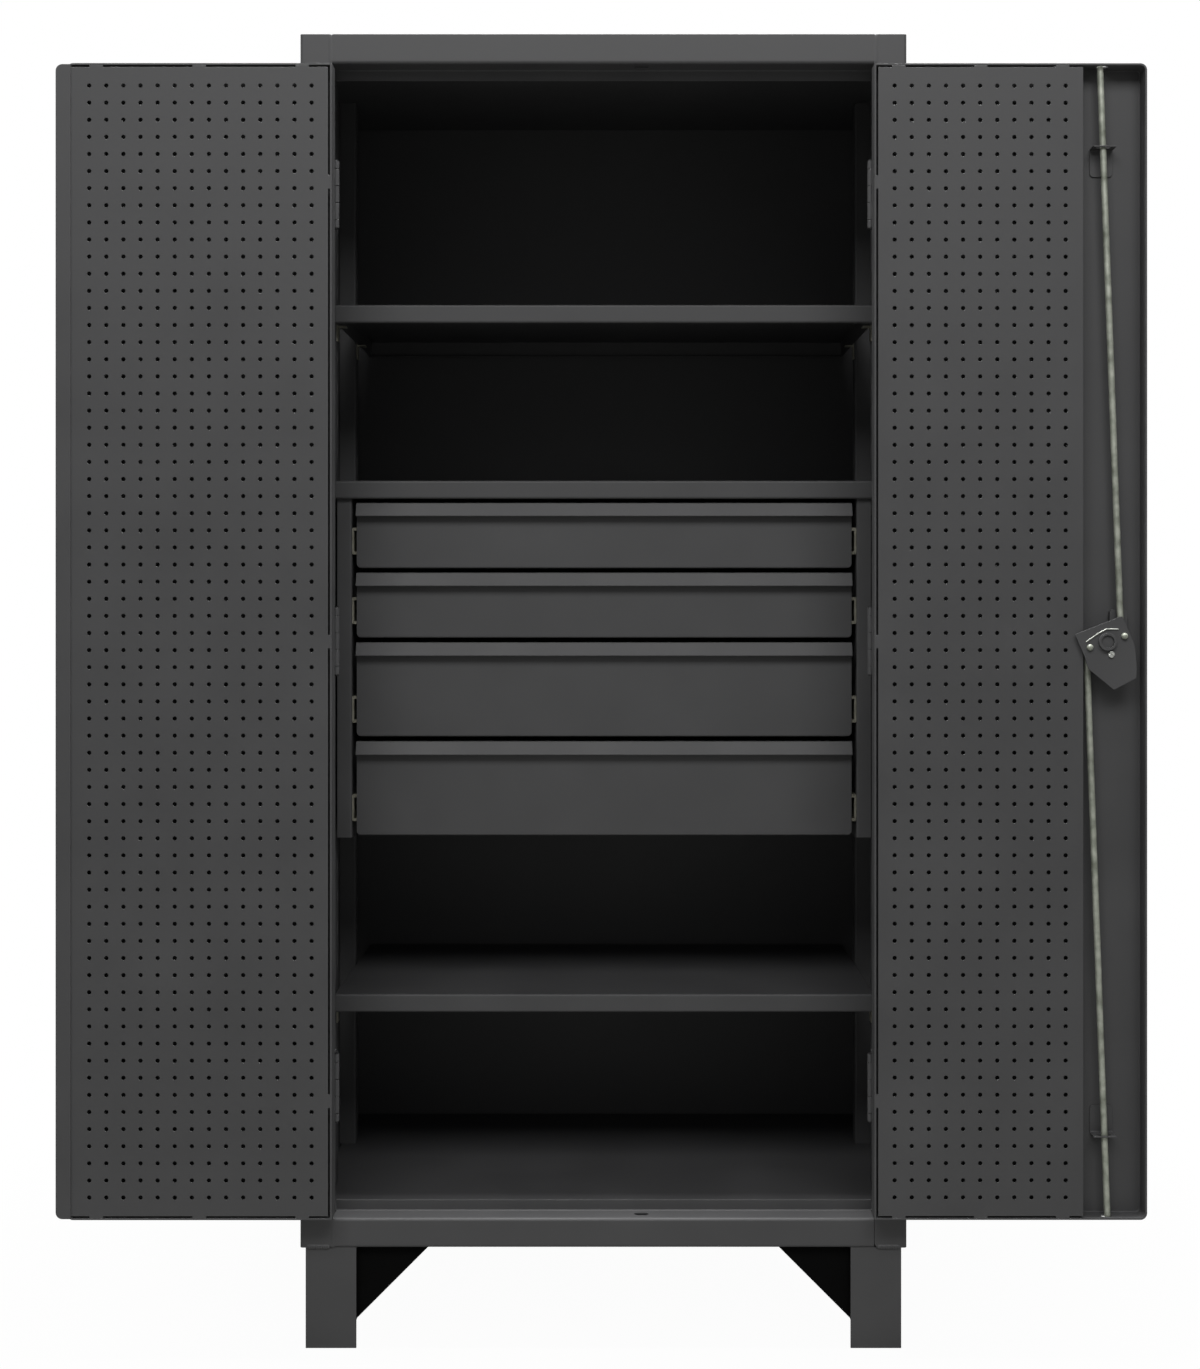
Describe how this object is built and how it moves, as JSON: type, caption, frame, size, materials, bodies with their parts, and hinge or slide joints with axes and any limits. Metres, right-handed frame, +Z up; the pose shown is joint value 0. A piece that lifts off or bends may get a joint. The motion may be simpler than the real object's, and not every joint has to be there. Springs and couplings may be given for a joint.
{
  "type": "storage cabinet",
  "caption": "Tall welded steel storage cabinet on legs, with pegboard-lined doors that fold flat open, a rod latch, shelves and a bank of drawers on ball slides.",
  "frame": {"origin": "on the floor, at the centre of the cabinet's footprint", "axes": "+X to the right seen from the front, +Y to the back, +Z up"},
  "size_m": [1.6201, 0.6677, 1.9812],
  "materials": {
    "charcoal_powder_coat": "fine satin texture",
    "black_powder_coat": "matt",
    "zinc_plated_steel": "pale plated",
    "black_cast_handle": "satin"
  },
  "bodies": {
    "cabinet": {"left_side_panel": "charcoal_powder_coat", "right_side_panel": "charcoal_powder_coat", "back_panel": "charcoal_powder_coat", "top_panel": "charcoal_powder_coat", "floor_panel": "charcoal_powder_coat", "header_rail": "charcoal_powder_coat", "base_rail": "charcoal_powder_coat", "front_left_leg": "charcoal_powder_coat", "front_right_leg": "charcoal_powder_coat", "rear_left_leg": "charcoal_powder_coat", "rear_right_leg": "charcoal_powder_coat", "leg_gussets": "black_powder_coat", "upper_shelf": "charcoal_powder_coat", "middle_shelf": "charcoal_powder_coat", "lower_shelf": "charcoal_powder_coat", "shelf_clips": "zinc_plated_steel", "shelf_uprights": "charcoal_powder_coat", "drawer_bank_left_side": "charcoal_powder_coat", "drawer_bank_right_side": "charcoal_powder_coat", "drawer_bank_rear_tie": "charcoal_powder_coat", "drawer_cabinet_runners": "zinc_plated_steel", "frame_hinge_leaves": "charcoal_powder_coat", "hinge_pins": "zinc_plated_steel"},
    "left_door": {"left_door_pan": "charcoal_powder_coat", "left_door_lip": "charcoal_powder_coat", "left_pegboard": "charcoal_powder_coat", "left_door_hinge_leaves": "charcoal_powder_coat"},
    "right_door": {"right_door_pan": "charcoal_powder_coat", "right_pegboard": "charcoal_powder_coat", "right_door_hinge_leaves": "charcoal_powder_coat", "upper_rod_guide": "charcoal_powder_coat", "lower_rod_guide": "charcoal_powder_coat", "latch_plate": "charcoal_powder_coat", "handle_rose": "charcoal_powder_coat"},
    "latch": {"latch_cam": "charcoal_powder_coat", "latch_shaft": "zinc_plated_steel", "door_handle": "black_cast_handle", "cam_screw": "zinc_plated_steel", "rod_keeper_wire": "zinc_plated_steel"},
    "upper_rod": {"upper_lock_rod": "zinc_plated_steel"},
    "lower_rod": {"lower_lock_rod": "zinc_plated_steel"},
    "drawer_1": {"drawer_1_front": "charcoal_powder_coat", "drawer_1_box": "charcoal_powder_coat", "drawer_1_runners": "zinc_plated_steel"},
    "drawer_1_middle": {"drawer_1_middle_runners": "zinc_plated_steel"},
    "drawer_2": {"drawer_2_front": "charcoal_powder_coat", "drawer_2_box": "charcoal_powder_coat", "drawer_2_runners": "zinc_plated_steel"},
    "drawer_2_middle": {"drawer_2_middle_runners": "zinc_plated_steel"},
    "drawer_3": {"drawer_3_front": "charcoal_powder_coat", "drawer_3_box": "charcoal_powder_coat", "drawer_3_runners": "zinc_plated_steel"},
    "drawer_3_middle": {"drawer_3_middle_runners": "zinc_plated_steel"},
    "drawer_4": {"drawer_4_front": "charcoal_powder_coat", "drawer_4_box": "charcoal_powder_coat", "drawer_4_runners": "zinc_plated_steel"},
    "drawer_4_middle": {"drawer_4_middle_runners": "zinc_plated_steel"}
  },
  "joints": [
    {"name": "left_door_swing", "type": "hinge", "parent": "cabinet", "child": "left_door", "pos_m": [-0.4019, -0.3096, 0], "axis": [0, 0, -1], "range_deg": [-180, 0]},
    {"name": "right_door_swing", "type": "hinge", "parent": "cabinet", "child": "right_door", "pos_m": [0.4019, -0.3096, 0], "axis": [0, 0, 1], "range_deg": [-180, 0]},
    {"name": "latch_turn", "type": "hinge", "parent": "right_door", "child": "latch", "pos_m": [0.7464, -0.3144, 1.0668], "axis": [0, -1, 0], "range_deg": [0, 72]},
    {"name": "upper_rod_pivot", "type": "hinge", "parent": "latch", "child": "upper_rod", "pos_m": [0.77208, -0.3144, 1.07514], "axis": [0, -1, 0], "range_deg": [-75, 0]},
    {"name": "lower_rod_pivot", "type": "hinge", "parent": "latch", "child": "lower_rod", "pos_m": [0.72072, -0.3144, 1.05846], "axis": [0, -1, 0], "range_deg": [-75, 0]},
    {"name": "drawer_1_slide", "type": "slide", "parent": "cabinet", "child": "drawer_1", "axis": [0, -1, 0], "range_m": [0, 0.4]},
    {"name": "drawer_1_middle_slide", "type": "slide", "parent": "cabinet", "child": "drawer_1_middle", "axis": [0, -1, 0], "range_m": [0, 0.2]},
    {"name": "drawer_2_slide", "type": "slide", "parent": "cabinet", "child": "drawer_2", "axis": [0, -1, 0], "range_m": [0, 0.4]},
    {"name": "drawer_2_middle_slide", "type": "slide", "parent": "cabinet", "child": "drawer_2_middle", "axis": [0, -1, 0], "range_m": [0, 0.2]},
    {"name": "drawer_3_slide", "type": "slide", "parent": "cabinet", "child": "drawer_3", "axis": [0, -1, 0], "range_m": [0, 0.4]},
    {"name": "drawer_3_middle_slide", "type": "slide", "parent": "cabinet", "child": "drawer_3_middle", "axis": [0, -1, 0], "range_m": [0, 0.2]},
    {"name": "drawer_4_slide", "type": "slide", "parent": "cabinet", "child": "drawer_4", "axis": [0, -1, 0], "range_m": [0, 0.4]},
    {"name": "drawer_4_middle_slide", "type": "slide", "parent": "cabinet", "child": "drawer_4_middle", "axis": [0, -1, 0], "range_m": [0, 0.2]}
  ],
  "couplings": [
    {"joint": "upper_rod_pivot", "follows": "latch_turn", "ratio": -1.028},
    {"joint": "lower_rod_pivot", "follows": "latch_turn", "ratio": -1.028},
    {"joint": "drawer_1_middle_slide", "follows": "drawer_1_slide", "ratio": 0.5},
    {"joint": "drawer_2_middle_slide", "follows": "drawer_2_slide", "ratio": 0.5},
    {"joint": "drawer_3_middle_slide", "follows": "drawer_3_slide", "ratio": 0.5},
    {"joint": "drawer_4_middle_slide", "follows": "drawer_4_slide", "ratio": 0.5}
  ]
}
